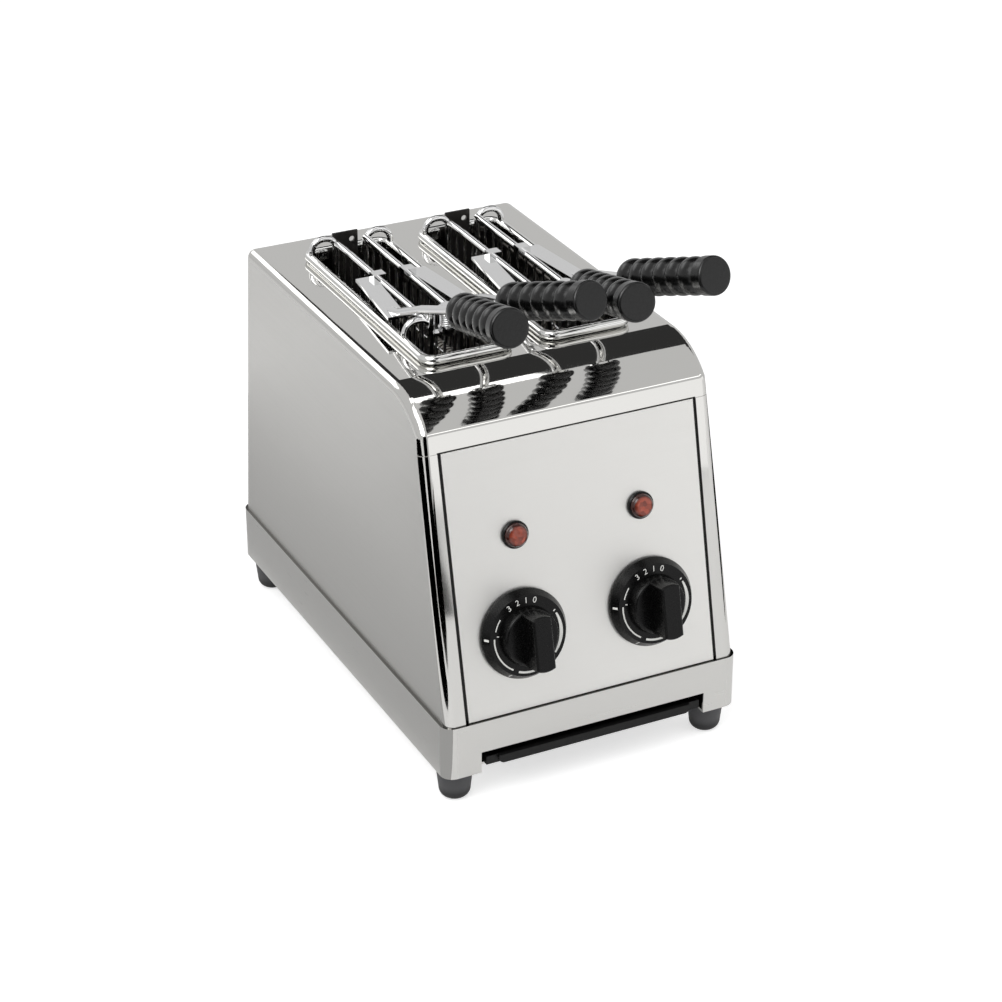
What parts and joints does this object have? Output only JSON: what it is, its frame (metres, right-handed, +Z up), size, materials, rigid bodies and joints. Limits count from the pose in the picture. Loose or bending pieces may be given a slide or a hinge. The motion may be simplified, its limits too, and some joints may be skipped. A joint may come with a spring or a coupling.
{
  "type": "clamp toaster",
  "caption": "Countertop clamp toaster in sheet steel: slots in a flat top, each with a lift-out wire clamp worked by beaded grips; timer knobs and lamps on a leaning front, crumb tray.",
  "frame": {"origin": "on the surface under the feet, in the middle of the outline seen from above", "axes": "+X to the right seen from the front, front panel and grips face -Y, +Z up"},
  "size_m": [0.2164, 0.376, 0.3583],
  "materials": {
    "satin_steel": "satin brushed sheet, rolled front edge polished bright",
    "polished_steel": "polished rim",
    "black_steel": "dark painted backing sheet seen in the shadow gap",
    "dark_steel": "heat-darkened sheet",
    "guard_wire": "bare round wire",
    "bright_aluminium": "bright reflector sheet",
    "quartz_glass": "clear quartz tube",
    "turned_steel": "turned bright steel",
    "zinc_steel": "zinc-plated case",
    "black_knob": "black moulded knob with white print",
    "black_bezel": "black lamp bezel",
    "red_lens": "translucent red lens",
    "dark_rubber": "matte moulded rubber",
    "black_nylon": "black moulded gland",
    "black_tray": "dark folded sheet",
    "spring_steel": "oiled spring wire",
    "keeper_steel": "dark plate",
    "chromed_wire": "bright plated round wire and strap",
    "black_grip": "glossy black beaded grip"
  },
  "bodies": {
    "body": {"bulkhead_front": "dark_steel", "bulkhead_rear": "dark_steel", "cable_gland": "black_nylon", "foot_front_left": "dark_rubber", "foot_front_right": "dark_rubber", "foot_rear_left": "dark_rubber", "foot_rear_right": "dark_rubber", "front_backing": "black_steel", "front_panel": "satin_steel", "guard_left_inner": "guard_wire", "guard_left_outer": "guard_wire", "guard_right_inner": "guard_wire", "guard_right_outer": "guard_wire", "heater_left": "quartz_glass", "heater_middle": "quartz_glass", "heater_right": "quartz_glass", "lamp_bezel_left": "black_bezel", "lamp_bezel_right": "black_bezel", "lamp_lens_left": "red_lens", "lamp_lens_right": "red_lens", "outer_shell": "satin_steel", "plinth": "satin_steel", "rear_panel": "satin_steel", "reflector_left": "bright_aluminium", "reflector_right": "bright_aluminium", "slot_collar_left": "polished_steel", "slot_collar_right": "polished_steel", "timer_left": "zinc_steel", "timer_right": "zinc_steel"},
    "tray": {"crumb_tray": "black_tray"},
    "knob_left": {"knob_left": "black_knob", "timer_shaft_left": "turned_steel"},
    "knob_right": {"knob_right": "black_knob", "timer_shaft_right": "turned_steel"},
    "clamp_left_pivot": {"clamp_left_pin": "turned_steel", "clamp_left_spring": "spring_steel"},
    "clamp_left_jaw_a": {"clamp_left_a_cage": "chromed_wire", "clamp_left_a_mesh": "chromed_wire", "clamp_left_a_arm": "chromed_wire", "clamp_left_a_grip": "black_grip", "clamp_left_keeper": "keeper_steel"},
    "clamp_left_jaw_b": {"clamp_left_b_cage": "chromed_wire", "clamp_left_b_mesh": "chromed_wire", "clamp_left_b_arm": "chromed_wire", "clamp_left_b_grip": "black_grip"},
    "clamp_right_pivot": {"clamp_right_pin": "turned_steel", "clamp_right_spring": "spring_steel"},
    "clamp_right_jaw_a": {"clamp_right_a_cage": "chromed_wire", "clamp_right_a_mesh": "chromed_wire", "clamp_right_a_arm": "chromed_wire", "clamp_right_a_grip": "black_grip", "clamp_right_keeper": "keeper_steel"},
    "clamp_right_jaw_b": {"clamp_right_b_cage": "chromed_wire", "clamp_right_b_mesh": "chromed_wire", "clamp_right_b_arm": "chromed_wire", "clamp_right_b_grip": "black_grip"}
  },
  "joints": [
    {"name": "timer_knob_left", "type": "hinge", "parent": "body", "child": "knob_left", "pos_m": [-0.0465, -0.15174, 0.11177], "axis": [0, -0.9763, 0.2164], "range_deg": [-300, 0]},
    {"name": "timer_knob_right", "type": "hinge", "parent": "body", "child": "knob_right", "pos_m": [0.0465, -0.15174, 0.11177], "axis": [0, -0.9763, 0.2164], "range_deg": [-300, 0]},
    {"name": "crumb_tray_slide", "type": "slide", "parent": "body", "child": "tray", "axis": [0, -1, 0], "range_m": [0, 0.25]},
    {"name": "clamp_left_lift", "type": "slide", "parent": "body", "child": "clamp_left_pivot", "axis": [0, 0, 1], "range_m": [0, 0.165]},
    {"name": "clamp_left_jaw_a", "type": "hinge", "parent": "clamp_left_pivot", "child": "clamp_left_jaw_a", "pos_m": [-0.043, -0.035, 0.284], "axis": [0, 0, 1], "range_deg": [0, 3.5], "stiffness_Nm_per_rad": 1.5, "springref_deg": -20.05},
    {"name": "clamp_left_jaw_b", "type": "hinge", "parent": "clamp_left_pivot", "child": "clamp_left_jaw_b", "pos_m": [-0.043, -0.035, 0.284], "axis": [0, 0, 1], "range_deg": [-3.5, 0], "stiffness_Nm_per_rad": 1.5, "springref_deg": 20.05},
    {"name": "clamp_right_lift", "type": "slide", "parent": "body", "child": "clamp_right_pivot", "axis": [0, 0, 1], "range_m": [0, 0.165]},
    {"name": "clamp_right_jaw_a", "type": "hinge", "parent": "clamp_right_pivot", "child": "clamp_right_jaw_a", "pos_m": [0.043, -0.035, 0.284], "axis": [0, 0, 1], "range_deg": [0, 3.5], "stiffness_Nm_per_rad": 1.5, "springref_deg": -20.05},
    {"name": "clamp_right_jaw_b", "type": "hinge", "parent": "clamp_right_pivot", "child": "clamp_right_jaw_b", "pos_m": [0.043, -0.035, 0.284], "axis": [0, 0, 1], "range_deg": [-3.5, 0], "stiffness_Nm_per_rad": 1.5, "springref_deg": 20.05}
  ],
  "couplings": [
    {"joint": "clamp_left_jaw_b", "follows": "clamp_left_jaw_a", "ratio": -1},
    {"joint": "clamp_right_jaw_b", "follows": "clamp_right_jaw_a", "ratio": -1}
  ]
}
